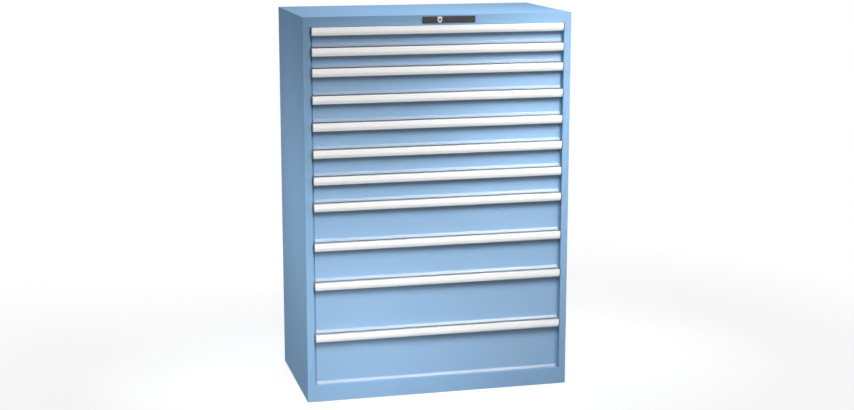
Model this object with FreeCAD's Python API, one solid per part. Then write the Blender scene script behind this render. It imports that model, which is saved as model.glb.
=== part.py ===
"""Steel drawer cabinet with eleven full-width drawers on telescopic roller slides and a central lock.

Millimetres. +Z is up, the drawer fronts face -Y and +X is to the right of someone facing them.
The origin lies on the floor, midway across the width and midway through the depth over the grips.
"""

import FreeCAD, Part
import math
import os

from FreeCAD import Vector

os.makedirs("parts", exist_ok=True)

# ---------------------------------------------------------------- overall sizes
cabinet_width = 1023.0
cabinet_depth = 572.0
plinth_height = 64.0
header_height = 36.0
shallow_front = 75.0
medium_front = 100.0
deep_front = 150.0
tall_front = 200.0
front_heights = [shallow_front] * 2 + [medium_front] * 5 + [deep_front] * 2 + [tall_front] * 2

# ---------------------------------------------------------------- housing sheet
housing_sheet = 1.5
fold_radius = 1.0
stile_width = 27.5
frame_return = 18.0
rebate_width = 8.0
rear_flange = 22.0
floor_flange = 30.0
base_drop = 12.0
base_flange = 25.0

# ---------------------------------------------------------------- drawer front and grip
front_recess = 16.0
front_side_gap = 9.0
front_end_gap = 1.5
front_sheet = 1.5
lip_height = 10.0
lip_reach = 8.0
lip_bend_radius = 3.0
grip_projection = 10.0
grip_height = 31.0
grip_wall = 2.5
grip_end_gap = 1.5
grip_swell_drop = 10.0
grip_swell_setback = 7.5
grip_swell_radius = 20.0
grip_curl_radius = 4.5
grip_curl_end = 3.0
grip_back_height = 25.0
grip_cap_thickness = 4.0
grip_cap_inset = 0.5

# ---------------------------------------------------------------- drawer tray
tray_sheet = 1.2
tray_lift = 8.0
tray_top_gap = 12.0
front_box_depth = 12.0
rear_space = 72.0

# ---------------------------------------------------------------- telescopic slides
slide_space = 23.0
rail_sheet = 1.5
roller_diameter = 20.0
running_gap = 0.3
slack_gap = 0.7
roller_end_gap = 0.4
carriage_plate = 2.0
carriage_plate_height = 17.0
shoe_length = 30.0
shoe_margin = 3.0
carriage_front_gap = 5.0
carriage_rear_gap = 9.0
shoe_pitch = 130.0
roller_margin = 18.0
rail_rise = 24.0
rail_flange_gap = 1.0
rail_start_gap = 3.0

# ---------------------------------------------------------------- slotted uprights
post_depth = 40.0
post_slot_pitch = 100.0
post_slot_height = 12.0
post_slot_width = 3.0
post_slot_inset = 9.0
hook_reach = 4.5
hook_clearance = 0.3

# ---------------------------------------------------------------- central lock
lock_offset = 0.0
bezel_length = 202.0
bezel_height = 25.0
bezel_left_reach = 66.0
bezel_thickness = 3.5
bezel_top_gap = 5.0
bezel_edge = 0.8
shield_width = 17.0
shield_height = 22.0
shield_corner = 3.5
shield_proud = 1.0
shield_fit_gap = 0.2
barrel_radius = 8.5
barrel_length = 24.0
plug_radius = 5.5
plug_fit_gap = 0.05
key_slot_width = 1.6
key_slot_height = 7.0
key_slot_depth = 8.0
cam_width = 14.0
cam_end_margin = 4.0
cam_thickness = 3.0
crank_radius = 6.0
crank_pin_radius = 2.5
plug_turn = 90.0
lock_gap = 0.5

rod_thickness = 3.0
rod_above_lock = 12.0
rod_below_lock = 6.0
rod_right_reach = 16.0
rod_end_margin = 6.0
rod_pin_radius = 2.5
rod_pin_length = 6.0
rod_pin_drop = 1.0
rod_pin_inset = 6.0
rod_guide_width = 10.0
rod_guide_wall = 3.0
rod_guide_margin = 45.0
rod_guide_count = 3

bar_thickness = 3.0
bar_width = 16.0
bar_web_gap = 1.5
bar_front_gap = 7.0
bar_foot_gap = 20.0
bar_guide_height = 14.0
bar_guide_wall = 3.0
bar_guide_count = 3
catch_width = 8.0
catch_height = 6.0
catch_length = 16.0
catch_rise = 54.0
catch_front_gap = 3.0
tab_width = 6.0
tab_height = 10.0
tab_reach = 17.0
tab_rest_gap = 2.0
tab_window_gap = 2.0

# ---------------------------------------------------------------- derived places
cabinet_height = plinth_height + sum(front_heights) + header_height
half_width = cabinet_width / 2
back_y = cabinet_depth / 2
frame_y = -cabinet_depth / 2 + grip_projection
half_opening = half_width - stile_width
ceiling_z = cabinet_height - housing_sheet
header_z = cabinet_height - header_height
base_z = plinth_height - base_drop
skin_y = frame_y + front_recess
skin_back_y = skin_y + front_sheet
half_front = half_opening - front_side_gap
half_tray = half_opening - slide_space
tray_back_y = back_y - rear_space
rail_front_y = skin_back_y + rail_start_gap
post_front_y = frame_y + frame_return + housing_sheet
post_rear_y = tray_back_y + carriage_front_gap + post_depth
rail_back_y = post_rear_y
rail_height = roller_diameter + running_gap + slack_gap + 2 * rail_sheet
play_shift = (slack_gap - running_gap) / 2
plate_x = half_tray + (slide_space - carriage_plate) / 2
crank_swing = 2 * crank_radius * math.sin(math.radians(plug_turn / 2))
crank_height = crank_radius * math.cos(math.radians(plug_turn / 2))
lock_z = cabinet_height - bezel_top_gap - bezel_height / 2
barrel_back_y = frame_y + barrel_length
cam_y = barrel_back_y + lock_gap
rod_y = cam_y + cam_thickness + lock_gap
rod_pin_x = -half_opening + rod_pin_inset
rod_pin_z = lock_z - rod_pin_drop
head_y = rod_y + rod_thickness + lock_gap
bar_x = -half_opening - housing_sheet - bar_web_gap
bar_y = post_front_y + housing_sheet + bar_front_gap


def bay_floors():
    """Heights of the bays' floors, from the top bay to the bottom one."""
    floors = []
    level = header_z
    for height in front_heights:
        level -= height
        floors.append(level)
    return floors


# ---------------------------------------------------------------- shape helpers
def block(x0, x1, y0, y1, z0, z1):
    """A box between two corners."""
    return Part.makeBox(x1 - x0, y1 - y0, z1 - z0, Vector(x0, y0, z0))


def cylinder_x(x0, x1, y, z, radius):
    """A round bar along X."""
    return Part.makeCylinder(radius, x1 - x0, Vector(x0, y, z), Vector(1, 0, 0))


def cylinder_y(y0, y1, x, z, radius):
    """A round bar along Y."""
    return Part.makeCylinder(radius, y1 - y0, Vector(x, y0, z), Vector(0, 1, 0))


def mirrored(shape):
    """The same shape on the other side of the cabinet."""
    return shape.mirror(Vector(0, 0, 0), Vector(1, 0, 0))


def fused(shapes):
    """One solid made of touching or crossing shapes."""
    whole = shapes[0].multiFuse(shapes[1:]).removeSplitter()
    return whole.Solids[0] if len(whole.Solids) == 1 else whole


def rounded_wire(points, radii):
    """A closed wire through the points, with an arc of the given radius at each corner that has one."""
    count = len(points)
    starts = []
    ends = []
    arcs = []
    for i in range(count):
        corner = points[i]
        before = (points[i - 1] - corner).normalize()
        after = (points[(i + 1) % count] - corner).normalize()
        radius = radii[i]
        if radius <= 0:
            starts.append(corner)
            ends.append(corner)
            arcs.append(None)
            continue
        half = before.getAngle(after) / 2
        setback = radius / math.tan(half)
        bisector = (before + after).normalize()
        middle = corner + bisector * (radius / math.sin(half) - radius)
        starts.append(corner + before * setback)
        ends.append(corner + after * setback)
        arcs.append(middle)
    edges = []
    for i in range(count):
        if arcs[i] is not None:
            edges.append(Part.Arc(starts[i], arcs[i], ends[i]).toShape())
        following = starts[(i + 1) % count]
        if ends[i].distanceToPoint(following) > 1e-6:
            edges.append(Part.LineSegment(ends[i], following).toShape())
    return Part.Wire(edges)


def sheet_outline(path, thickness, inner_radii):
    """The closed outline of a bent strip.

    path is the strip's outer side as (u, v) pairs, and the strip lies to the left of its direction.
    inner_radii gives, for each corner between the two ends, the radius on the inside of that bend,
    or None for a corner that stays sharp.
    """
    count = len(path)
    normals = []
    for i in range(count - 1):
        du = path[i + 1][0] - path[i][0]
        dv = path[i + 1][1] - path[i][1]
        length = math.hypot(du, dv)
        normals.append((-dv / length, du / length))
    other = []
    turns = []
    for i in range(count):
        if i == 0:
            n = normals[0]
            shift = (n[0] * thickness, n[1] * thickness)
        elif i == count - 1:
            n = normals[-1]
            shift = (n[0] * thickness, n[1] * thickness)
        else:
            a = normals[i - 1]
            b = normals[i]
            scale = thickness / (1 + a[0] * b[0] + a[1] * b[1])
            shift = ((a[0] + b[0]) * scale, (a[1] + b[1]) * scale)
            turns.append(a[0] * b[1] - a[1] * b[0])
        other.append((path[i][0] + shift[0], path[i][1] + shift[1]))
    near = [0.0]
    far = [0.0]
    for turn, radius in zip(turns, inner_radii):
        outer = 0.0 if radius is None else radius + thickness
        inner = 0.0 if radius is None else radius
        near.append(outer if turn > 0 else inner)
        far.append(inner if turn > 0 else outer)
    near.append(0.0)
    far.append(0.0)
    return list(path) + other[::-1], near + far[::-1]


def plan_sheet(path, thickness, inner_radii, z0, z1):
    """A bent sheet whose section lies in the XY plane, standing from z0 to z1."""
    outline, radii = sheet_outline(path, thickness, inner_radii)
    wire = rounded_wire([Vector(u, v, z0) for u, v in outline], radii)
    return Part.Face(wire).extrude(Vector(0, 0, z1 - z0))


def side_sheet(path, thickness, inner_radii, x0, x1):
    """A bent sheet whose section lies in the YZ plane, running from x0 to x1."""
    outline, radii = sheet_outline(path, thickness, inner_radii)
    wire = rounded_wire([Vector(x0, u, v) for u, v in outline], radii)
    return Part.Face(wire).extrude(Vector(x1 - x0, 0, 0))


def front_sheet_profile(path, thickness, inner_radii, y0, y1):
    """A bent sheet whose section lies in the XZ plane, running from y0 to y1."""
    outline, radii = sheet_outline(path, thickness, inner_radii)
    wire = rounded_wire([Vector(u, y0, v) for u, v in outline], radii)
    return Part.Face(wire).extrude(Vector(0, y1 - y0, 0))


# ---------------------------------------------------------------- housing
def right_side_panel():
    """Side wall with the front stile, its return and rebate, the rear flange and the floor flange."""
    path = [
        (half_opening - rebate_width, frame_y + frame_return),
        (half_opening, frame_y + frame_return),
        (half_opening, frame_y),
        (half_width, frame_y),
        (half_width, back_y - housing_sheet),
        (half_width - rear_flange, back_y - housing_sheet),
    ]
    bends = [None, None, fold_radius, None]
    wall = plan_sheet(path, housing_sheet, bends, 0, ceiling_z)
    inner_x = half_width - housing_sheet
    foot = block(
        inner_x - floor_flange, inner_x, post_front_y, back_y - 2 * housing_sheet, 0, housing_sheet
    )
    joint = block(
        inner_x, inner_x + housing_sheet / 2, post_front_y, back_y - 2 * housing_sheet, 0, housing_sheet
    )
    return fused([wall, foot.fuse(joint)])


def back_panel():
    """Flat rear wall lying on the side panels' rear flanges."""
    return block(-half_width, half_width, back_y - housing_sheet, back_y, 0, ceiling_z)


def top_panel():
    """Top sheet, its front corners rounded like the side panels' folds."""
    plate = block(-half_width, half_width, frame_y, back_y, ceiling_z, cabinet_height)
    upright = [edge for edge in plate.Edges if abs(edge.tangentAt(edge.FirstParameter).z) > 0.5]
    front_corners = [edge for edge in upright if edge.CenterOfMass.y < 0]
    return plate.makeFillet(fold_radius + housing_sheet, front_corners)


def base_panel():
    """Floor of the drawer space, flanged down at the front and the back."""
    inner_x = half_width - housing_sheet
    y0 = post_front_y
    y1 = back_y - 2 * housing_sheet
    path = [(y1, base_z - base_flange), (y1, base_z), (y0, base_z), (y0, base_z - base_flange)]
    return side_sheet(path, housing_sheet, [None, None], -inner_x, inner_x)


def front_header():
    """Front strip above the drawers, bored for the lock and flanged back at both edges."""
    path = [
        (frame_y + frame_return, header_z),
        (frame_y, header_z),
        (frame_y, ceiling_z),
        (frame_y + frame_return, ceiling_z),
    ]
    path = path[::-1]
    strip = side_sheet(path, housing_sheet, [None, None], -half_opening, half_opening)
    reach = housing_sheet + fold_radius
    bore = cylinder_y(
        frame_y - reach, frame_y + frame_return / 2, lock_offset, lock_z, barrel_radius + shield_fit_gap
    )
    return strip.cut(bore)


def front_plinth():
    """Front strip below the drawers, flanged back at the top and along the floor."""
    path = [
        (frame_y + frame_return, plinth_height),
        (frame_y, plinth_height),
        (frame_y, 0.0),
        (frame_y + frame_return, 0.0),
    ]
    return side_sheet(path, housing_sheet, [None, None], -half_opening, half_opening)


# ---------------------------------------------------------------- uprights and cabinet rails
def slot_levels():
    """Heights of the hook slots' centres: one at each rail, then one every pitch up its bay."""
    levels = []
    for floor, height in zip(bay_floors(), front_heights):
        for step in range(math.ceil(height / post_slot_pitch)):
            levels.append(floor + rail_rise + step * post_slot_pitch)
    return levels


def post(y0, slot_y):
    """Right-hand upright: a channel open towards the side wall, slotted for the rails' hooks."""
    web_x = half_opening
    edge_x = half_width - housing_sheet
    path = [(edge_x, y0 + post_depth), (web_x, y0 + post_depth), (web_x, y0), (edge_x, y0)]
    channel = plan_sheet(path, housing_sheet, [None, None], base_z, header_z)
    half_slot = post_slot_height / 2
    slots = [
        block(
            web_x - housing_sheet,
            web_x + 2 * housing_sheet,
            slot_y - post_slot_width / 2,
            slot_y + post_slot_width / 2,
            level - half_slot,
            level + half_slot,
        )
        for level in slot_levels()
    ]
    return channel.cut(Part.makeCompound(slots))


def slot_ys():
    """Where the hook slots lie along the depth: near the edge of each upright that faces the other."""
    return post_front_y + post_depth - post_slot_inset, post_rear_y - post_depth + post_slot_inset


def right_posts():
    """Front and rear uprights on the right."""
    front_slot, rear_slot = slot_ys()
    return [post(post_front_y, front_slot), post(post_rear_y - post_depth, rear_slot)]


def left_posts():
    """Front and rear uprights on the left, the front one with windows for the lock's tabs."""
    front, rear = [mirrored(shape) for shape in right_posts()]
    windows = []
    for floor in bay_floors():
        low, high = tab_span(floor)
        windows.append(
            block(
                -half_opening - 2 * housing_sheet,
                -half_opening + housing_sheet,
                bar_y - tab_window_gap,
                bar_y + tab_width + tab_window_gap,
                low - tab_window_gap,
                high + crank_swing + tab_window_gap,
            )
        )
    return [front.cut(Part.makeCompound(windows)), rear]


def cabinet_rail(floor):
    """Fixed channel on the right for the outer rollers, hooked into both uprights."""
    centre = floor + rail_rise + play_shift
    low = centre - rail_height / 2
    high = centre + rail_height / 2
    lip_x = plate_x + carriage_plate + rail_flange_gap
    path = [(lip_x, high), (half_opening, high), (half_opening, low), (lip_x, low)]
    path = path[::-1]
    channel = front_sheet_profile(path, rail_sheet, [None, None], rail_front_y, rail_back_y)
    parts = [channel]
    half_hook = post_slot_height / 2 - hook_clearance
    half_width_y = post_slot_width / 2 - hook_clearance
    for slot_y in slot_ys():
        parts.append(
            block(
                half_opening - rail_sheet / 2,
                half_opening + hook_reach,
                slot_y - half_width_y,
                slot_y + half_width_y,
                floor + rail_rise - half_hook,
                floor + rail_rise + half_hook,
            )
        )
    return fused(parts)


# ---------------------------------------------------------------- drawers
def drawer_skin(floor, height):
    """Front sheet: upright behind the grip, flared forward along its lower edge."""
    low = floor + front_end_gap
    high = floor + height - front_end_gap - grip_wall
    path = [
        (skin_y, high),
        (skin_y, low + lip_height),
        (skin_y - lip_reach, low),
    ]
    return side_sheet(path, front_sheet, [lip_bend_radius], -half_front, half_front)


def tray_shell(floor, height):
    """Open tray behind the front: floor, side walls, rear wall and the front's inner wall."""
    low = floor + tray_lift
    high = floor + height - tray_top_gap
    box_front_y = skin_back_y
    inner_front_y = box_front_y + front_box_depth
    shell = block(-half_tray, half_tray, box_front_y, tray_back_y, low, high)
    well = block(
        -half_tray + tray_sheet,
        half_tray - tray_sheet,
        inner_front_y,
        tray_back_y - tray_sheet,
        low + tray_sheet,
        high + tray_sheet,
    )
    pocket = block(
        -half_tray + tray_sheet,
        half_tray - tray_sheet,
        box_front_y - tray_sheet,
        inner_front_y - tray_sheet,
        low + tray_sheet,
        high - tray_sheet,
    )
    return shell.cut(well).cut(pocket)


def drawer_rail(floor):
    """Channel on the tray's right side that rests on the inner rollers."""
    centre = floor + rail_rise - play_shift
    low = centre - rail_height / 2
    high = centre + rail_height / 2
    lip_x = plate_x - rail_flange_gap
    path = [(lip_x, high), (half_tray, high), (half_tray, low), (lip_x, low)]
    return front_sheet_profile(path, rail_sheet, [None, None], rail_front_y, tray_back_y)


def lock_catch(floor):
    """Block on the tray's left side; when locked, the bar's tab stands in front of it."""
    y0 = bar_y + tab_width + catch_front_gap
    low = floor + catch_rise - catch_height / 2
    return block(
        -half_tray - catch_length, -half_tray, y0, y0 + catch_width, low, low + catch_height
    )


def drawer_tray(floor, height):
    """Tray, the front that it carries, both rails and the lock catch."""
    rail = drawer_rail(floor)
    return [
        tray_shell(floor, height),
        drawer_skin(floor, height),
        rail,
        mirrored(rail),
        lock_catch(floor),
    ]


def grip_path(top):
    """Outer side of the grip's section, from the foot of its back to the end of its curl."""
    nose_y = skin_y - front_recess - grip_projection
    low = top - grip_height
    curl_y = nose_y + grip_swell_setback
    return [
        (skin_y, top - grip_back_height),
        (skin_y, top),
        (nose_y, top),
        (nose_y, low + grip_swell_drop),
        (curl_y, low),
        (curl_y + grip_curl_end, low),
    ]


def drawer_grip(floor, height):
    """Full-width grip extrusion, swept under for the fingers, with an end cap in each end."""
    path = grip_path(floor + height - front_end_gap)
    half_length = half_opening - grip_end_gap - grip_cap_thickness
    bends = [None, None, grip_swell_radius - grip_wall, grip_curl_radius - grip_wall]
    profile = side_sheet(path, grip_wall, bends, -half_length, half_length)
    inset_bends = [None, None, grip_swell_radius - grip_cap_inset, grip_curl_radius - grip_cap_inset]
    outline, radii = sheet_outline(path, grip_cap_inset, inset_bends)
    inset = [Vector(half_length, u, v) for u, v in outline[len(path):]]
    face = Part.Face(rounded_wire(inset, radii[len(path):]))
    cap = face.extrude(Vector(grip_cap_thickness, 0, 0))
    return [profile, cap, mirrored(cap)]


# ---------------------------------------------------------------- carriages
def carriage(floor):
    """Right-hand middle member.

    Two shoes near the back end of its plate run in the cabinet's rail. The drawer's rail rides on the
    roller near the front end, with a guide shoe behind it.
    """
    centre = floor + rail_rise
    front_y = rail_front_y + carriage_front_gap
    back_end_y = tray_back_y - carriage_rear_gap
    far_x = plate_x + carriage_plate
    inner_x = half_tray + rail_sheet + roller_end_gap
    outer_x = half_opening - rail_sheet - roller_end_gap
    half_plate = carriage_plate_height / 2
    radius = roller_diameter / 2
    inner_y = front_y + roller_margin
    plate = block(plate_x, far_x, front_y, back_end_y, centre - half_plate, centre + half_plate)
    inner_roller = cylinder_x(inner_x, plate_x, inner_y, centre, radius)
    shoe_y = inner_y + shoe_pitch
    inner_shoe = block(
        inner_x, plate_x, shoe_y, shoe_y + shoe_length, centre - radius, centre + radius
    )
    parts = [plate, inner_roller, inner_shoe]
    for step in range(2):
        shoe_y = back_end_y - shoe_margin - step * shoe_pitch
        parts.append(
            block(far_x, outer_x, shoe_y - shoe_length, shoe_y, centre - radius, centre + radius)
        )
    return parts


# ---------------------------------------------------------------- lock
def shield_wire(y, grow):
    """Outline of the lock's shield-shaped face, grown by a clearance."""
    half_w = shield_width / 2 + grow
    half_h = shield_height / 2 + grow
    waist = -half_h + shield_height / 3
    toe = half_w / 2
    corners = [
        (-half_w, half_h),
        (half_w, half_h),
        (half_w, waist),
        (toe, -half_h),
        (-toe, -half_h),
        (-half_w, waist),
    ]
    points = [Vector(lock_offset + x, y, lock_z + z) for x, z in corners]
    return rounded_wire(points, [shield_corner] * len(points))


def lock_bezel():
    """Dark plate on the header, cut out for the lock's face."""
    x0 = lock_offset - bezel_left_reach
    front_y = frame_y - bezel_thickness
    plate = block(
        x0,
        x0 + bezel_length,
        front_y,
        frame_y,
        lock_z - bezel_height / 2,
        lock_z + bezel_height / 2,
    )
    rim = [edge for edge in plate.Edges if edge.BoundBox.YMax < frame_y - bezel_thickness / 2]
    plate = plate.makeChamfer(bezel_edge, rim)
    reach = bezel_thickness + shield_proud
    cut = Part.Face(shield_wire(frame_y - reach, shield_fit_gap)).extrude(Vector(0, 2 * reach, 0))
    return plate.cut(cut)


def plug_hole():
    """Bore that the plug turns in."""
    front_y = frame_y - bezel_thickness - shield_proud
    return cylinder_y(
        front_y - shield_proud, cam_y, lock_offset, lock_z, plug_radius + plug_fit_gap
    )


def lock_housing():
    """Shield-shaped face on a round barrel through the header, bored for the plug."""
    front_y = frame_y - bezel_thickness - shield_proud
    face = Part.Face(shield_wire(front_y, 0.0)).extrude(Vector(0, frame_y - front_y, 0))
    barrel = cylinder_y(frame_y - shield_proud, barrel_back_y, lock_offset, lock_z, barrel_radius)
    return fused([face, barrel]).cut(plug_hole())


def lock_plug():
    """Turning plug with its key slot."""
    front_y = frame_y - bezel_thickness - shield_proud
    plug = cylinder_y(front_y, cam_y, lock_offset, lock_z, plug_radius)
    slot = block(
        lock_offset - key_slot_width / 2,
        lock_offset + key_slot_width / 2,
        front_y - key_slot_width,
        front_y + key_slot_depth,
        lock_z - key_slot_height / 2,
        lock_z + key_slot_height / 2,
    )
    return plug.cut(slot)


def lock_cam():
    """Flat arm behind the plug with a crank pin, standing at its unlocked end."""
    axis = Vector(lock_offset, cam_y, lock_z)
    reach = crank_radius + crank_pin_radius + cam_end_margin
    arm = block(
        lock_offset - cam_width / 2,
        lock_offset + cam_width / 2,
        cam_y,
        cam_y + cam_thickness,
        lock_z - cam_width / 2,
        lock_z + reach,
    )
    pin = cylinder_y(cam_y + cam_thickness, head_y, lock_offset, lock_z + crank_radius, crank_pin_radius)
    arm = fused([arm, pin])
    arm.rotate(axis, Vector(0, 1, 0), -plug_turn / 2)
    return arm


def lock_rod():
    """Flat rod along the header, driven sideways by the crank pin, with a pin at its far end."""
    low = lock_z - rod_below_lock
    high = lock_z + rod_above_lock
    right_x = lock_offset + rod_right_reach
    left_x = rod_pin_x - rod_end_margin / 2
    strip = block(left_x, right_x, rod_y, rod_y + rod_thickness, low, high)
    swing_error = crank_radius - crank_height
    slot_half = crank_pin_radius + lock_gap
    pin_x = lock_offset - crank_swing / 2
    slot = block(
        pin_x - slot_half,
        pin_x + slot_half,
        rod_y - lock_gap,
        rod_y + rod_thickness + lock_gap,
        lock_z + crank_height - slot_half,
        lock_z + crank_height + swing_error + slot_half,
    )
    back_y_of_rod = rod_y + rod_thickness
    pin = cylinder_y(
        rod_y, back_y_of_rod + rod_pin_length, rod_pin_x, rod_pin_z, rod_pin_radius
    )
    return fused([strip.cut(slot), pin])


def rod_guide_places():
    """Left edges of the rod's guides, evenly spaced between the locking bar's head and the lock."""
    left = rod_pin_x + rod_guide_margin
    right = lock_offset - rod_guide_margin - rod_guide_width
    pitch = (right - left) / (rod_guide_count - 1)
    return [left + step * pitch for step in range(rod_guide_count)]


def lock_rod_guides():
    """Blocks under the top sheet that the rod slides through."""
    guides = []
    low = lock_z - rod_below_lock - rod_guide_wall
    for place in rod_guide_places():
        body = block(
            place,
            place + rod_guide_width,
            rod_y - running_gap - rod_guide_wall,
            rod_y + rod_thickness + running_gap + rod_guide_wall,
            low,
            ceiling_z,
        )
        passage = block(
            place - rod_guide_wall,
            place + rod_guide_width + rod_guide_wall,
            rod_y - running_gap,
            rod_y + rod_thickness + running_gap,
            lock_z - rod_below_lock - running_gap,
            lock_z + rod_above_lock + running_gap,
        )
        guides.append(body.cut(passage))
    return guides


def tab_span(floor):
    """Lowest and highest point of a bay's lock tab, unlocked."""
    high = floor + catch_rise - catch_height / 2 - tab_rest_gap
    return high - tab_height, high


def bar_head():
    """Plate at the bar's top with a slanted slot that the rod's pin lifts it by."""
    margin = rod_pin_radius + 2 * lock_gap + bar_thickness
    path = [
        Vector(rod_pin_x, head_y, rod_pin_z),
        Vector(rod_pin_x + crank_swing, head_y, rod_pin_z - crank_swing),
    ]
    plate = block(
        bar_x - bar_thickness,
        path[1].x + margin,
        head_y,
        head_y + bar_thickness,
        path[1].z - margin,
        path[0].z + margin,
    )
    radius = rod_pin_radius + lock_gap
    across = Vector(1, 0, 1).normalize() * radius
    corners = [path[0] - across, path[0] + across, path[1] + across, path[1] - across]
    middle = Part.Face(Part.makePolygon(corners + corners[:1])).extrude(Vector(0, bar_thickness, 0))
    ends = [
        Part.makeCylinder(radius, bar_thickness, point, Vector(0, 1, 0)) for point in path
    ]
    return plate.cut(fused([middle] + ends))


def locking_bar():
    """Upright bar in the left front post with a tab for every drawer and a slotted head."""
    foot_z = base_z + bar_foot_gap
    head = bar_head()
    strip = block(
        bar_x - bar_thickness, bar_x, bar_y, bar_y + bar_width, foot_z, head.BoundBox.ZMin
    )
    parts = [strip, head]
    for floor in bay_floors():
        low, high = tab_span(floor)
        parts.append(block(bar_x, bar_x + tab_reach, bar_y, bar_y + tab_width, low, high))
    return parts


def locking_bar_guides():
    """Blocks inside the left front post that keep the bar upright."""
    guides = []
    x0 = bar_x - bar_thickness - running_gap - bar_guide_wall
    x1 = -half_opening - housing_sheet
    y0 = bar_y - running_gap - bar_guide_wall
    y1 = bar_y + bar_width + running_gap + bar_guide_wall
    floors = bay_floors()
    chosen = floors[:: len(floors) // bar_guide_count][:bar_guide_count]
    for floor in chosen:
        low = floor + rail_rise - bar_guide_height / 2 - post_slot_height
        body = block(x0, x1, y0, y1, low, low + bar_guide_height)
        passage = block(
            x0 + bar_guide_wall,
            bar_x + running_gap,
            bar_y - running_gap,
            bar_y + bar_width + running_gap,
            low - bar_guide_wall,
            low + bar_guide_height + bar_guide_wall,
        )
        guides.append(body.cut(passage))
    return guides


# ---------------------------------------------------------------- export
def save(name, shapes):
    """Write one node's solids to its own STEP file."""
    shape = shapes[0] if len(shapes) == 1 else Part.makeCompound(shapes)
    shape.exportStep("parts/" + name + ".step")


def main():
    """Build every node of the cabinet."""
    side = right_side_panel()
    save("right_side_panel", [side])
    save("left_side_panel", [mirrored(side)])
    save("back_panel", [back_panel()])
    save("top_panel", [top_panel()])
    save("base_panel", [base_panel()])
    save("front_header", [front_header()])
    save("front_plinth", [front_plinth()])
    save("right_posts", right_posts())
    save("left_posts", left_posts())
    rails = [cabinet_rail(floor) for floor in bay_floors()]
    save("right_cabinet_rails", rails)
    save("left_cabinet_rails", [mirrored(rail) for rail in rails])
    for number, (floor, height) in enumerate(zip(bay_floors(), front_heights), start=1):
        tag = "%02d" % number
        save("drawer_" + tag + "_tray", drawer_tray(floor, height))
        save("drawer_" + tag + "_grip", drawer_grip(floor, height))
        right = carriage(floor)
        save("slide_" + tag + "_carriages", right + [mirrored(part) for part in right])
    save("lock_bezel", [lock_bezel()])
    save("lock_housing", [lock_housing()])
    save("lock_plug", [lock_plug()])
    save("lock_cam", [lock_cam()])
    save("lock_rod", [lock_rod()])
    save("lock_rod_guides", lock_rod_guides())
    save("locking_bar", locking_bar())
    save("locking_bar_guides", locking_bar_guides())


main()
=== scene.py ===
"""Looks of the eleven-drawer steel cabinet: painted sheet, pale grips, plated slides, lock and studio."""

import logging
import math
from abc import ABC, abstractmethod
from dataclasses import dataclass
from enum import Enum
from typing import Callable, Dict, List, Optional, Sequence, Tuple, Union

import bmesh
import bpy
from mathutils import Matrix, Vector

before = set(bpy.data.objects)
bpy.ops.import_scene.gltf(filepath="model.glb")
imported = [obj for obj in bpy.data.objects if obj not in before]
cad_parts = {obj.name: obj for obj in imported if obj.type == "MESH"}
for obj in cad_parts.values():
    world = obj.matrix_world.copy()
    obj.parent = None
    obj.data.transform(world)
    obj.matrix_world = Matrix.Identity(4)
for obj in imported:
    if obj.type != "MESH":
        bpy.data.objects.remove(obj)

log = logging.getLogger("cabinet")

MM = 0.001

Point = Tuple[float, float, float]
Span = Tuple[float, float]
Rgba = Tuple[float, float, float, float]
Socket = bpy.types.NodeSocket

# All of a value from zero to one, and the part of it that cloud noise mostly stays in.
WHOLE: Span = (0.0, 1.0)
CLOUD: Span = (0.3, 0.7)

# Corners this near to each other are joined, and then edges at least this sharp, in degrees, are rounded.
WELD_REACH = 0.01 * MM
SHARP_FROM = 50.0

# Decimals of a metre to which two corners at one place agree.
CORNER_PLACES = 5

# Samples of a softly shaded edge.
EDGE_SAMPLES = 4

# The places of a colour mix node's sockets.
MIX_SHARE = 0
MIX_UNDER = 6
MIX_OVER = 7
MIX_RESULT = 2

# The curve from screen values to linear ones: straight up to its knee, then a power.
SCREEN_WHITE = 255
CURVE_KNEE = 0.04045
CURVE_SLOPE = 12.92
CURVE_LIFT = 0.055
CURVE_POWER = 2.4


# ---------------------------------------------------------------- colour and node helpers
@dataclass(frozen=True)
class Colour:
    """A colour as three screen values from 0 to 255."""

    red: float
    green: float
    blue: float

    def linear(self, gain: float = 1.0) -> Rgba:
        """The colour as Blender's linear values.

        Args:
            gain: factor on all three values.

        Returns:
            Red, green, blue and an alpha of one.
        """
        values = []
        for level in (self.red, self.green, self.blue):
            share = level / SCREEN_WHITE
            low = share / CURVE_SLOPE
            high = ((share + CURVE_LIFT) / (1 + CURVE_LIFT)) ** CURVE_POWER
            values.append(gain * (low if share <= CURVE_KNEE else high))
        return values[0], values[1], values[2], 1.0


WHITE = Colour(255, 255, 255)
LIGHT_BLUE = Colour(142, 180, 216)
TRAY_BLUE = Colour(128, 165, 201)


class Operation(Enum):
    """What a maths node does, with Blender's name for it."""

    ABSOLUTE = "ABSOLUTE"
    ADD = "ADD"
    DIVIDE = "DIVIDE"
    FRACTION = "FRACT"
    GREATER = "GREATER_THAN"
    LESS = "LESS_THAN"
    MAXIMUM = "MAXIMUM"
    MULTIPLY = "MULTIPLY"
    ROOT = "SQRT"
    SUBTRACT = "SUBTRACT"


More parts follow.
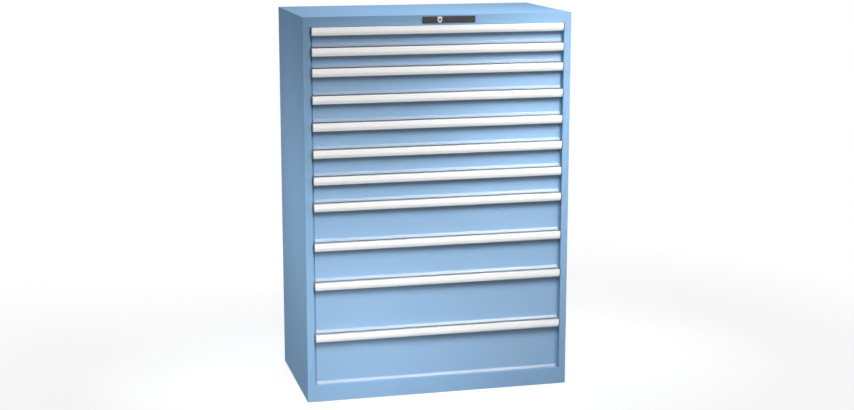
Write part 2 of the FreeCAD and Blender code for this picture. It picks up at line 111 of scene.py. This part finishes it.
class Board:
    """The node tree of a world or a material, with short ways to add and join nodes."""

    def __init__(self, tree: bpy.types.NodeTree) -> None:
        """Takes the tree to work on."""
        self.tree = tree

    def add(self, kind: str, *ordered: object, **named: object) -> bpy.types.Node:
        """Adds a node and fills some of its inputs, each with a fixed value or a socket.

        Args:
            kind: Blender's name for the node type.
            ordered: what its first inputs get, in order.
            named: what other inputs get, with spaces in a name written as underscores.

        Returns:
            The new node.
        """
        node = self.tree.nodes.new(kind)
        for target, value in zip(node.inputs, ordered):
            self.feed(target, value)
        for name, value in named.items():
            self.feed(node.inputs[name.replace("_", " ")], value)
        return node

    def feed(self, target: Socket, value: object) -> None:
        """Fills an input.

        Args:
            target: the input.
            value: a socket to link to it, or a fixed value.
        """
        if isinstance(value, bpy.types.NodeSocket):
            self.tree.links.new(value, target)
        else:
            target.default_value = value

    def place(self) -> Socket:
        """The surface point in the piece's own metres."""
        return self.add("ShaderNodeTexCoord").outputs["Object"]

    def facing(self) -> Socket:
        """The direction that the surface faces."""
        return self.add("ShaderNodeNewGeometry").outputs["Normal"]

    def axes(self, vector: Socket) -> Tuple[Socket, Socket, Socket]:
        """The X, Y and Z of a vector."""
        split = self.add("ShaderNodeSeparateXYZ", vector)
        return split.outputs["X"], split.outputs["Y"], split.outputs["Z"]

    def levelness(self) -> Socket:
        """One where the surface faces straight up or down, and zero where it stands upright."""
        return self.math(Operation.ABSOLUTE, self.axes(self.facing())[2])

    def shown(self) -> Socket:
        """One where a ray shows the surface to the eye, directly or in a reflection, else zero.

        Returns:
            The mask's socket.
        """
        ray = self.add("ShaderNodeLightPath").outputs
        seen = self.math(Operation.MAXIMUM, ray["Is Camera Ray"], ray["Is Glossy Ray"])
        return self.math(Operation.MAXIMUM, seen, ray["Is Transmission Ray"])

    def noise(self, scale: float, detail: float, vector: Optional[Socket] = None) -> Socket:
        """Cloud noise.

        Args:
            scale: clouds per metre.
            detail: octaves.
            vector: the point to take it at, which is the surface point if none is given.

        Returns:
            The socket with values around one half.
        """
        point = self.place() if vector is None else vector
        node = self.add("ShaderNodeTexNoise", Vector=point, Scale=scale, Detail=detail)
        return node.outputs["Fac"]

    def spread(self, source: Socket, low: float, high: float, span: Span = WHOLE) -> Socket:
        """Maps a socket's values from one span to another, and holds them inside it.

        Args:
            source: the socket to map.
            low: result at the span's start.
            high: result at the span's end.
            span: the source values that count.

        Returns:
            The mapped socket.
        """
        start, end = span
        node = self.add("ShaderNodeMapRange", source, start, end, low, high)
        return node.outputs["Result"]

    def blend(self, share: Socket, under: Union[Socket, Rgba], over: Rgba) -> Socket:
        """Lays a fixed colour over another colour.

        Args:
            share: from zero for the colour under to one for the colour over.
            under: a socket or a fixed colour.
            over: the fixed colour.

        Returns:
            The mixed colour's socket.
        """
        node = self.add("ShaderNodeMix")
        node.data_type = "RGBA"
        self.feed(node.inputs[MIX_SHARE], share)
        self.feed(node.inputs[MIX_UNDER], under)
        self.feed(node.inputs[MIX_OVER], over)
        return node.outputs[MIX_RESULT]

    def comb(self, source: Socket, pitch: float, start: float, width: float) -> Socket:
        """One inside evenly spaced bands of a length, else zero.

        Args:
            source: the length to measure, in metres.
            pitch: distance from band to band.
            start: where one of the bands starts.
            width: width of a band.

        Returns:
            The mask's socket.
        """
        shifted = self.math(Operation.SUBTRACT, source, start)
        share = self.math(Operation.FRACTION, self.math(Operation.DIVIDE, shifted, pitch))
        return self.math(Operation.LESS, share, width / pitch)

    def math(self, operation: Operation, *values: Union[Socket, float]) -> Socket:
        """A maths node on sockets or numbers.

        Args:
            operation: what it does.
            values: what it works on, in order.

        Returns:
            The result's socket.
        """
        node = self.add("ShaderNodeMath", *values)
        node.operation = operation.value
        return node.outputs[0]

    def relief(self, height: Socket, depth: float, soft_edge: float) -> Socket:
        """A normal with fine relief on softly rounded edges.

        Args:
            height: relief height from zero to one.
            depth: relief depth in metres.
            soft_edge: radius that the edges are softened by, in metres.

        Returns:
            The normal's socket.
        """
        edge = self.add("ShaderNodeBevel", Radius=soft_edge)
        edge.samples = EDGE_SAMPLES
        bump = self.add("ShaderNodeBump", Distance=depth, Height=height, Normal=edge.outputs["Normal"])
        return bump.outputs["Normal"]

    def dent(self, marks: Socket, depth: float, normal: Socket) -> Socket:
        """Sinks marks into a normal.

        Args:
            marks: one in a mark, zero outside.
            depth: depth of the marks in metres.
            normal: the normal that they are sunk into.

        Returns:
            The normal's socket.
        """
        bump = self.add("ShaderNodeBump", Distance=depth, Height=marks, Normal=normal)
        bump.invert = True
        return bump.outputs["Normal"]


class MaterialBoard(Board):
    """The node tree of a new material."""

    def __init__(self, name: str) -> None:
        """Makes an empty material.

        Args:
            name: the material's name.
        """
        self.material = bpy.data.materials.new(name)
        self.material.use_nodes = True
        super().__init__(self.material.node_tree)
        self.tree.nodes.clear()

    def show(self, shader: Socket) -> bpy.types.Material:
        """Shows a shader on the surface, and gives the finished material."""
        self.add("ShaderNodeOutputMaterial", Surface=shader)
        return self.material

    def surface(self, **named: object) -> bpy.types.Material:
        """Ends the material with a Principled shader, whose inputs are filled by name."""
        return self.show(self.add("ShaderNodeBsdfPrincipled", **named).outputs["BSDF"])


# ---------------------------------------------------------------- finishes
@dataclass(frozen=True)
class PowderCoat:
    """Satin powder coat on sheet steel: a fine orange-peel skin with slight tone changes, and a painted
    sheen on near-level faces.
    """

    name: str
    colour: Colour
    # Painted sheen: the tone that near-level faces, such as the fronts' lips, take in place of a highlight.
    sloping: Colour
    gloss: float
    roughness: Span
    peel_per_metre: float = 700.0
    peel_detail: float = 2.0
    peel_depth: float = 0.12 * MM
    drift_per_metre: float = 1.6
    drift_detail: float = 3.0
    drift: float = 0.035
    # How level a face must be to take the painted sheen tone, from none of it to all of it.
    slope_span: Span = (0.3, 0.6)
    # Tone of the marks: painted shade in the tray's slots, a faint weld tone on the rear wall.
    marked: Colour = Colour(62, 78, 95)
    mark_depth: float = 0.6 * MM
    soft_edge: float = 1.4 * MM

    def build(self) -> bpy.types.Material:
        """Makes the material.

        Returns:
            The material.
        """
        board = MaterialBoard(self.name)
        tone = board.spread(board.noise(self.drift_per_metre, self.drift_detail), *WHOLE, CLOUD)
        sheet = board.blend(tone, self.colour.linear(1 - self.drift), self.colour.linear(1 + self.drift))
        # Painted sheen: near-level faces blend towards a greyer tone, which shows whitish where the lamps
        # light the lips, as a highlight would.
        sheen_share = board.spread(board.levelness(), *WHOLE, self.slope_span)
        coat = board.blend(sheen_share, sheet, self.sloping.linear())
        peel = board.noise(self.peel_per_metre, self.peel_detail)
        rough = board.spread(peel, *self.roughness, CLOUD)
        normal = board.relief(peel, self.peel_depth, self.soft_edge)
        marks = self.marks(board)
        if marks is not None:
            # The marks take their tone: painted shade in the tray slots, the weld tone on the rear wall.
            coat = board.blend(marks, coat, self.marked.linear())
            normal = board.dent(marks, self.mark_depth, normal)
        return board.surface(
            Metallic=0.0, Specular_IOR_Level=self.gloss, Base_Color=coat, Roughness=rough, Normal=normal
        )

    def marks(self, board: Board) -> Optional[Socket]:
        """Where the sheet is slotted or dented: nowhere on a plain sheet."""
        return None


@dataclass(frozen=True)
class SlottedCoat(PowderCoat):
    """Powder coat on the trays, whose upright walls have rows of slots for dividers, drawn as dents in
    painted shade.
    """

    slot_pitch: float = 17 * MM
    slot_width: float = 2.5 * MM
    middle_y: float = -22 * MM
    row_pitch: float = 25 * MM
    row_start: float = 3 * MM
    slot_height: float = 12 * MM
    wall_facing: float = 0.9

    def marks(self, board: Board) -> Optional[Socket]:
        """The slots in the upright walls, where the coat is painted dark as the shade inside a slot.

        Args:
            board: the material's nodes.

        Returns:
            The mask's socket.
        """
        across, along, up = board.axes(board.place())
        sideways, endways, _ = board.axes(board.facing())
        half = self.slot_width / 2
        slots = []
        for length, start, facing in ((across, -half, endways), (along, self.middle_y - half, sideways)):
            columns = board.comb(length, self.slot_pitch, start, self.slot_width)
            wall = board.math(Operation.GREATER, board.math(Operation.ABSOLUTE, facing), self.wall_facing)
            slots.append(board.math(Operation.MULTIPLY, columns, wall))
        rows = board.comb(up, self.row_pitch, self.row_start, self.slot_height)
        return board.math(Operation.MULTIPLY, board.math(Operation.MAXIMUM, *slots), rows)


@dataclass(frozen=True)
class WeldedCoat(PowderCoat):
    """Powder coat on the rear wall, with a row of faint spot welds along each flange."""

    weld_x: float = 500.5 * MM
    weld_pitch: float = 75 * MM
    weld_radius: float = 3 * MM
    weld_edge: float = 2 * MM

    def marks(self, board: Board) -> Optional[Socket]:
        """The spot welds.

        Args:
            board: the material's nodes.

        Returns:
            The mask's socket.
        """
        across, _, up = board.axes(board.place())
        aside = board.math(Operation.SUBTRACT, board.math(Operation.ABSOLUTE, across), self.weld_x)
        share = board.math(Operation.FRACTION, board.math(Operation.DIVIDE, up, self.weld_pitch))
        above = board.math(
            Operation.MULTIPLY, board.math(Operation.SUBTRACT, share, 0.5), self.weld_pitch
        )
        squares = [board.math(Operation.MULTIPLY, length, length) for length in (aside, above)]
        reach = board.math(Operation.ROOT, board.math(Operation.ADD, *squares))
        return board.spread(reach, 1.0, 0.0, (self.weld_radius, self.weld_radius + self.weld_edge))


@dataclass(frozen=True)
class SatinGrip:
    """Pale satin extrusion with fine draw lines along X, and painted shade: darker where it rolls level."""

    name: str
    colour: Colour
    # Painted shade: the tone of level faces, standing in for the dark lines of shade along the grip's top
    # and bottom edges.
    rolled: Colour
    level_from: float = 0.75
    metallic: float = 0.5
    roughness: Span = (0.26, 0.38)
    line_per_metre: float = 1400.0
    line_detail: float = 2.0
    line_stretch: float = 0.01
    line_gain: float = 0.985
    line_depth: float = 0.02 * MM
    soft_edge: float = 1.2 * MM

    def build(self) -> bpy.types.Material:
        """Makes the material.

        Returns:
            The material.
        """
        board = MaterialBoard(self.name)
        along = board.add("ShaderNodeMapping", Vector=board.place(), Scale=(self.line_stretch, 1.0, 1.0))
        lines = board.noise(self.line_per_metre, self.line_detail, along.outputs["Vector"])
        metal = board.blend(lines, self.colour.linear(self.line_gain), self.colour.linear())
        # Painted shade on the faces that roll level, up or down.
        level = board.math(Operation.GREATER, board.levelness(), self.level_from)
        return board.surface(
            Metallic=self.metallic,
            Base_Color=board.blend(level, metal, self.rolled.linear()),
            Roughness=board.spread(lines, *self.roughness),
            Normal=board.relief(lines, self.line_depth, self.soft_edge),
        )


@dataclass(frozen=True)
class Grained:
    """A finish whose tone, sheen and relief all follow one fine grain."""

    name: str
    colour: Colour
    roughness: Span
    metallic: float
    tones: Span
    grain_per_metre: float
    grain_detail: float
    grain_depth: float
    soft_edge: float

    def build(self) -> bpy.types.Material:
        """Makes the material.

        Returns:
            The material.
        """
        board = MaterialBoard(self.name)
        grain = board.noise(self.grain_per_metre, self.grain_detail)
        darker, lighter = (self.colour.linear(gain) for gain in self.tones)
        return board.surface(
            Metallic=self.metallic,
            Base_Color=board.blend(self.tone(board, grain), darker, lighter),
            Roughness=board.spread(grain, *self.roughness),
            Normal=board.relief(grain, self.grain_depth, self.soft_edge),
        )

    def tone(self, board: Board, grain: Socket) -> Socket:
        """How light the colour is, from zero to one."""
        return board.spread(grain, *WHOLE, CLOUD)


@dataclass(frozen=True)
class Moulding(Grained):
    """Matt moulded plastic with a fine spark-eroded grain."""

    roughness: Span = (0.49, 0.61)
    metallic: float = 0.0
    tones: Span = (0.94, 1.06)
    grain_per_metre: float = 2200.0
    grain_detail: float = 2.0
    grain_depth: float = 0.05 * MM
    soft_edge: float = 0.5 * MM


@dataclass(frozen=True)
class SatinNickel(Grained):
    """Satin nickel plating with a soft uneven sheen."""

    roughness: Span = (0.24, 0.42)
    metallic: float = 0.55
    tones: Span = (0.9, 1.0)
    grain_per_metre: float = 420.0
    grain_detail: float = 4.0
    grain_depth: float = 0.03 * MM
    soft_edge: float = 0.5 * MM


@dataclass(frozen=True)
class ZincPlate(Grained):
    """Bright zinc plate with a faint spangle."""

    roughness: Span = (0.26, 0.44)
    metallic: float = 1.0
    tones: Span = (0.85, 1.0)
    grain_per_metre: float = 260.0
    grain_detail: float = 3.0
    grain_depth: float = 0.04 * MM
    soft_edge: float = 0.4 * MM
    spangle_per_metre: float = 90.0

    def tone(self, board: Board, grain: Socket) -> Socket:
        """How light the colour is, from zero to one: darkest in the middle of a spangle."""
        cells = board.add("ShaderNodeTexVoronoi", Vector=board.place(), Scale=self.spangle_per_metre)
        return board.spread(cells.outputs["Distance"], *WHOLE)


@dataclass(frozen=True)
class StudioFloor:
    """White floor: plain white far off, and near the cabinet white with its soft shadow."""

    name: str = "studio_floor"
    seen: Colour = Colour(250, 250, 250)
    bounce: Colour = Colour(120, 120, 120)
    shadow_share: float = 0.3
    near: float = 0.9
    far: float = 2.6

    def build(self) -> bpy.types.Material:
        """Makes the material.

        Returns:
            The material.
        """
        board = MaterialBoard(self.name)
        shown = board.shown()
        tone = board.blend(shown, self.bounce.linear(), self.seen.linear())
        matt = board.add("ShaderNodeBsdfDiffuse", Color=tone)
        glow = board.add("ShaderNodeEmission", Color=WHITE.linear(), Strength=1.0)
        reach = board.add("ShaderNodeVectorMath", board.place())
        reach.operation = "LENGTH"
        away = board.spread(reach.outputs["Value"], 1 - self.shadow_share, 1.0, (self.near, self.far))
        share = board.math(Operation.MULTIPLY, shown, away)
        mixed = board.add("ShaderNodeMixShader", share, matt.outputs["BSDF"], glow.outputs["Emission"])
        return board.show(mixed.outputs["Shader"])


class Finish(Enum):
    """The cabinet's finishes."""

    PAINT = PowderCoat(
        "light_blue_powder_coat", LIGHT_BLUE, sloping=LIGHT_BLUE, gloss=0.0, roughness=(0.75, 0.85)
    )
    ZINC = ZincPlate("zinc_plate", Colour(156, 160, 166))
    REAR_PAINT = WeldedCoat(
        "light_blue_rear_coat",
        LIGHT_BLUE,
        sloping=LIGHT_BLUE,
        gloss=0.0,
        roughness=(0.75, 0.85),
        marked=Colour(134, 171, 206),
    )
    TRAY_PAINT = SlottedCoat(
        "light_blue_tray_coat", TRAY_BLUE, sloping=TRAY_BLUE, gloss=0.2, roughness=(0.55, 0.65)
    )
    FRONT_PAINT = PowderCoat(
        "light_blue_front_coat",
        Colour(139, 175, 210),
        # Painted sheen: the lips and other near-level faces of the fronts take this greyer tone.
        sloping=Colour(134, 154, 176),
        gloss=0.7,
        roughness=(0.37, 0.47),
    )
    # The grip's level faces get painted shade in this darker tone.
    GRIP = SatinGrip("satin_grip", Colour(250, 250, 250), rolled=Colour(206, 203, 200))
    # Partly painted shade: real moulded end caps, whose dark tone stands in for the shade on the grip's end
    # faces.
    GRIP_CAP = Moulding("grip_cap", Colour(112, 109, 106))
    ROLLER = Moulding("dark_polyamide", Colour(46, 47, 49), roughness=(0.36, 0.48))
    BEZEL = Moulding("dark_lock_plate", Colour(44, 45, 46))
    LOCK = SatinNickel("satin_nickel", Colour(228, 228, 230))
    # The plug is a darker nickel than the sleeve, so that the lock's centre shows dark.
    PLUG = SatinNickel("worn_nickel", Colour(128, 127, 126))


# ---------------------------------------------------------------- separate solids of a mesh
@dataclass(frozen=True)
class Solid:
    """One separate solid of a node: its faces, and its reach along X in metres."""

    faces: Tuple[int, ...]
    left: float
    right: float

    @property
    def width(self) -> float:
        """Its width along X."""
        return self.right - self.left

    @property
    def one_sided(self) -> bool:
        """Whether it lies wholly to the left or wholly to the right of the middle."""
        return self.left > 0 or self.right < 0


class SolidFinder:
    """Splits a mesh into its separate solids, which share no corner with each other."""

    def __init__(self, mesh: bpy.types.Mesh) -> None:
        """Joins the corners that lie at one place or on one face.

        Args:
            mesh: the mesh to split.
        """
        self.mesh = mesh
        self.leader = list(range(len(mesh.vertices)))
        seen: Dict[Tuple[float, ...], int] = {}
        for corner in mesh.vertices:
            spot = tuple(round(value, CORNER_PLACES) for value in corner.co)
            self.unite(corner.index, seen.setdefault(spot, corner.index))
        for face in mesh.polygons:
            for corner in face.vertices[1:]:
                self.unite(corner, face.vertices[0])

    def lead(self, corner: int) -> int:
        """Finds the corner that leads a corner's solid.

        Args:
            corner: the corner's index.

        Returns:
            The index of the corner that leads the solid.
        """
        while self.leader[corner] != corner:
            self.leader[corner] = self.leader[self.leader[corner]]
            corner = self.leader[corner]
        return corner

    def unite(self, first: int, second: int) -> None:
        """Puts two corners into one solid."""
        self.leader[self.lead(first)] = self.lead(second)

    def solids(self) -> List[Solid]:
        """Sorts the mesh's faces by solid.

        Returns:
            The mesh's separate solids.
        """
        groups: Dict[int, List[int]] = {}
        for face in self.mesh.polygons:
            groups.setdefault(self.lead(face.vertices[0]), []).append(face.index)
        return [self.measure(faces) for faces in groups.values()]

    def measure(self, faces: Sequence[int]) -> Solid:
        """Measures one solid's reach.

        Args:
            faces: the indices of its faces.

        Returns:
            The solid.
        """
        reach = []
        for face in faces:
            for corner in self.mesh.polygons[face].vertices:
                reach.append(self.mesh.vertices[corner].co.x)
        return Solid(tuple(faces), min(reach), max(reach))


# ---------------------------------------------------------------- the cabinet
@dataclass
class SubAssembly(ABC):
    """Pieces that belong together, with the materials to dress them in."""

    materials: Dict[Finish, bpy.types.Material]

    @abstractmethod
    def build(self) -> List[str]:
        """Dresses the pieces and gives their names."""

    def dress(self, node: str, *finishes: Finish) -> bpy.types.Mesh:
        """Gives a node of the frame its finishes, with the first one all over it.

        Args:
            node: the node's name.
            finishes: one finish for each material slot.

        Returns:
            The node's mesh.
        """
        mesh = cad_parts[node].data
        mesh.materials.clear()
        for finish in finishes:
            mesh.materials.append(self.materials[finish])
        return mesh

    def dress_each(self, finishes: Dict[str, Finish]) -> List[str]:
        """Gives nodes of the frame one finish each.

        Args:
            finishes: the finish of each node by the node's name.

        Returns:
            The names of the nodes.
        """
        for node, finish in finishes.items():
            self.dress(node, finish)
        return list(finishes)

    def dress_solids(self, node: str, choose: Callable[[Solid], Finish], *finishes: Finish) -> None:
        """Gives a node several finishes, chosen solid by solid.

        Args:
            node: the node's name.
            choose: gives a solid's finish.
            finishes: the finishes that it chooses from.
        """
        mesh = self.dress(node, *finishes)
        for solid in SolidFinder(mesh).solids():
            slot = finishes.index(choose(solid))
            for face in solid.faces:
                mesh.polygons[face].material_index = slot

    def soften(self, node: str, radius: float, steps: int) -> None:
        """Rounds a node's sharp edges slightly.

        Args:
            node: the node's name.
            radius: radius of the rounding in metres.
            steps: steps round each edge.
        """
        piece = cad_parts[node]
        weld = piece.modifiers.new("weld", "WELD")
        weld.merge_threshold = WELD_REACH
        bevel = piece.modifiers.new("soft_edges", "BEVEL")
        bevel.width = radius
        bevel.segments = steps
        bevel.limit_method = "ANGLE"
        bevel.angle_limit = math.radians(SHARP_FROM)
        bevel.harden_normals = True


@dataclass
class Housing(SubAssembly):
    """The welded sheet-steel housing with its uprights and their rails."""

    rear_wall: str = "back_panel"
    sheets: Tuple[str, ...] = (
        "left_side_panel",
        "right_side_panel",
        "top_panel",
        "base_panel",
        "front_header",
        "front_plinth",
        "left_posts",
        "right_posts",
    )
    rails: Tuple[str, ...] = ("left_cabinet_rails", "right_cabinet_rails")

    def build(self) -> List[str]:
        """Dresses the painted sheets and the plated rails.

        Returns:
            The names of the dressed pieces.
        """
        finishes = {self.rear_wall: Finish.REAR_PAINT}
        finishes.update(dict.fromkeys(self.sheets, Finish.PAINT))
        finishes.update(dict.fromkeys(self.rails, Finish.ZINC))
        return self.dress_each(finishes)


class DrawerPiece(Enum):
    """The nodes of a drawer, with the pattern of their names."""

    TRAY = "drawer_{}_tray"
    GRIP = "drawer_{}_grip"
    CARRIAGES = "slide_{}_carriages"

    def node(self, tag: str) -> str:
        """The node's name in the drawer with this tag."""
        return self.value.format(tag)


@dataclass
class Drawer(SubAssembly):
    """One drawer with its tray, front, rails, grip and carriages."""

    tag: str
    front_width: float = 940 * MM
    cap_width: float = 10 * MM
    plate_width: float = 3 * MM
    grip_edge: float = 1.6 * MM
    grip_steps: int = 3

    def build(self) -> List[str]:
        """Dresses the tray, the grip and the carriages.

        Returns:
            The names of the dressed pieces.
        """
        tray, grip, carriages = (piece.node(self.tag) for piece in DrawerPiece)
        self.dress_solids(tray, self.tray_finish, Finish.TRAY_PAINT, Finish.FRONT_PAINT, Finish.ZINC)
        self.dress_solids(grip, self.grip_finish, Finish.GRIP, Finish.GRIP_CAP)
        self.soften(grip, self.grip_edge, self.grip_steps)
        self.dress_solids(carriages, self.carriage_finish, Finish.ZINC, Finish.ROLLER)
        return [tray, grip, carriages]

    def tray_finish(self, solid: Solid) -> Finish:
        """Tells the rails and the lock catch, at one side each, from the tray and its wider front.

        Args:
            solid: a solid of the tray's node.

        Returns:
            Its finish.
        """
        if solid.one_sided:
            return Finish.ZINC
        return Finish.FRONT_PAINT if solid.width > self.front_width else Finish.TRAY_PAINT

    def grip_finish(self, solid: Solid) -> Finish:
        """Tells the narrow end caps from the profile."""
        return Finish.GRIP_CAP if solid.width < self.cap_width else Finish.GRIP

    def carriage_finish(self, solid: Solid) -> Finish:
        """Tells the rollers and guide shoes from the thin plates."""
        return Finish.ROLLER if solid.width > self.plate_width else Finish.ZINC


@dataclass
class CentralLock(SubAssembly):
    """The lock plate, the sleeve with its plug, and the linkage."""

    plate: str = "lock_bezel"
    sleeve: str = "lock_housing"
    plug: str = "lock_plug"
    linkage: Tuple[str, ...] = (
        "lock_cam",
        "lock_rod",
        "lock_rod_guides",
        "locking_bar",
        "locking_bar_guides",
    )
    edge: float = 0.3 * MM
    edge_steps: int = 2

    def build(self) -> List[str]:
        """Dresses every piece of the lock.

        Returns:
            The names of the dressed pieces.
        """
        finishes = {self.plate: Finish.BEZEL, self.sleeve: Finish.LOCK, self.plug: Finish.PLUG}
        finishes.update(dict.fromkeys(self.linkage, Finish.ZINC))
        for node in (self.sleeve, self.plug):
            self.soften(node, self.edge, self.edge_steps)
        return self.dress_each(finishes)


class Cabinet:
    """The whole cabinet: its materials and its sub-assemblies."""

    def __init__(self) -> None:
        """Makes every finish's material once."""
        self.materials: Dict[Finish, bpy.types.Material] = {kind: kind.value.build() for kind in Finish}

    def sub_assemblies(self) -> List[SubAssembly]:
        """Gives what the cabinet is made of.

        Returns:
            The housing, the drawers from the top and the lock.
        """
        housing = Housing(self.materials)
        drawers = [Drawer(self.materials, tag) for tag in self.drawer_tags()]
        return [housing, *drawers, CentralLock(self.materials)]

    def drawer_tags(self) -> List[str]:
        """The two-figure tags of the drawers, from the top."""
        names = [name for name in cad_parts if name.endswith("_tray")]
        return sorted(name.split("_")[1] for name in names)


# ---------------------------------------------------------------- studio and camera
def put(holder: bpy.types.Object, place: Point, way: Vector) -> None:
    """Puts a lamp or a camera into the scene, upright and facing one way.

    Args:
        holder: the lamp or the camera.
        place: where it stands.
        way: the direction that it faces.
    """
    holder.location = place
    holder.rotation_euler = way.to_track_quat("-Z", "Y").to_euler()
    bpy.context.scene.collection.objects.link(holder)


@dataclass(frozen=True)
class SoftLamp:
    """A square soft light aimed at a point, with its spread in degrees."""

    name: str
    place: Point
    target: Point
    width: float
    watts: float
    spread: float = 180.0

    def build(self) -> None:
        """Makes the lamp."""
        lamp = bpy.data.lights.new(self.name, "AREA")
        lamp.shape = "SQUARE"
        lamp.size = self.width
        lamp.energy = self.watts
        lamp.spread = math.radians(self.spread)
        way = Vector(self.target) - Vector(self.place)
        put(bpy.data.objects.new(self.name, lamp), self.place, way)


@dataclass
class Studio:
    """White floor, white surroundings and soft lamps."""

    floor_half: float = 9.0
    ambient: float = 0.25
    lamps: Tuple[SoftLamp, ...] = (
        SoftLamp("broad_key", (0.0, -2.6, 4.0), (0.0, -0.28, 0.7), width=1.6, watts=46.0),
        SoftLamp("upper_right", (1.1, -1.5, 2.6), (0.45, -0.28, 1.15), width=0.7, watts=4.6, spread=60.0),
        SoftLamp("lower_right", (0.35, -1.4, 1.6), (0.3, -0.28, 0.2), width=0.7, watts=1.3, spread=60.0),
        SoftLamp("lower_left", (-0.8, -1.5, 1.8), (-0.42, -0.28, 0.28), width=0.7, watts=1.9, spread=45.0),
        SoftLamp("foot_left", (-0.6, -1.3, 0.7), (-0.42, -0.28, 0.15), width=0.7, watts=0.5, spread=45.0),
        SoftLamp("shoulder_right", (1.0, -1.3, 1.9), (0.48, -0.28, 1.1), width=0.6, watts=0.35, spread=40.0),
        SoftLamp("middle_right", (0.9, -1.2, 2.2), (0.3, -0.28, 0.9), width=0.5, watts=0.4, spread=35.0),
        SoftLamp("left_side", (-1.36, 0.0, 0.75), (-0.51, 0.0, 0.74), width=0.4, watts=3.3),
        SoftLamp("right_side", (1.5, 0.25, 0.9), (0.51, 0.0, 0.74), width=0.5, watts=6.0),
        SoftLamp("top", (-0.1, 0.2, 3.2), (-0.1, 0.0, 1.45), width=1.0, watts=1.8, spread=50.0),
        SoftLamp("rear", (-0.6, 3.0, 0.9), (0.0, 0.28, 0.7), width=1.6, watts=60.0),
    )

    def build(self) -> None:
        """Makes the floor, the surroundings and the lamps."""
        self.lay_floor()
        self.light_world()
        for lamp in self.lamps:
            lamp.build()

    def lay_floor(self) -> None:
        """Makes the floor as one flat square."""
        mesh = bpy.data.meshes.new("floor")
        shape = bmesh.new()
        half = self.floor_half
        corners = [(-half, -half, 0), (half, -half, 0), (half, half, 0), (-half, half, 0)]
        shape.faces.new([shape.verts.new(corner) for corner in corners])
        shape.to_mesh(mesh)
        shape.free()
        mesh.materials.append(StudioFloor().build())
        floor = bpy.data.objects.new("floor", mesh)
        bpy.context.scene.collection.objects.link(floor)

    def light_world(self) -> None:
        """Makes even light all round that shows white to the eye and in reflections."""
        world = bpy.data.worlds.new("studio")
        world.use_nodes = True
        bpy.context.scene.world = world
        board = Board(world.node_tree)
        back = board.tree.nodes["Background"]
        board.feed(back.inputs["Color"], WHITE.linear())
        board.feed(back.inputs["Strength"], board.spread(board.shown(), self.ambient, 1.0))


@dataclass
class Viewpoint:
    """The camera: in front and to the left, a little above the top, looking slightly down.

    Its heading, to the right of straight ahead, and its dip are in radians.
    """

    place: Point = (-1.4426, -5.8543, 1.8802)
    heading: float = 0.24496
    dip: float = 0.19591
    focal_pixels: float = 1559.5
    image_width: int = 854

    def build(self) -> None:
        """Makes the camera and sets the way its picture is shown."""
        data = bpy.data.cameras.new("camera")
        data.lens = self.focal_pixels / self.image_width * data.sensor_width
        camera = bpy.data.objects.new("camera", data)
        level = math.cos(self.dip)
        way = Vector((level * math.sin(self.heading), level * math.cos(self.heading), -math.sin(self.dip)))
        put(camera, self.place, way)
        bpy.context.scene.camera = camera
        bpy.context.scene.view_settings.view_transform = "Standard"


# ---------------------------------------------------------------- build
def main() -> None:
    """Builds the camera, the cabinet and the studio."""
    logging.basicConfig(level=logging.INFO, format="%(name)s: %(message)s")
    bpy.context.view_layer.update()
    Viewpoint().build()
    log.info("placed the camera")
    for sub_assembly in Cabinet().sub_assemblies():
        for piece in sub_assembly.build():
            log.info("dressed %s", piece)
    Studio().build()
    log.info("built the studio")
    bpy.context.view_layer.update()


if __name__ == "__main__":
    main()
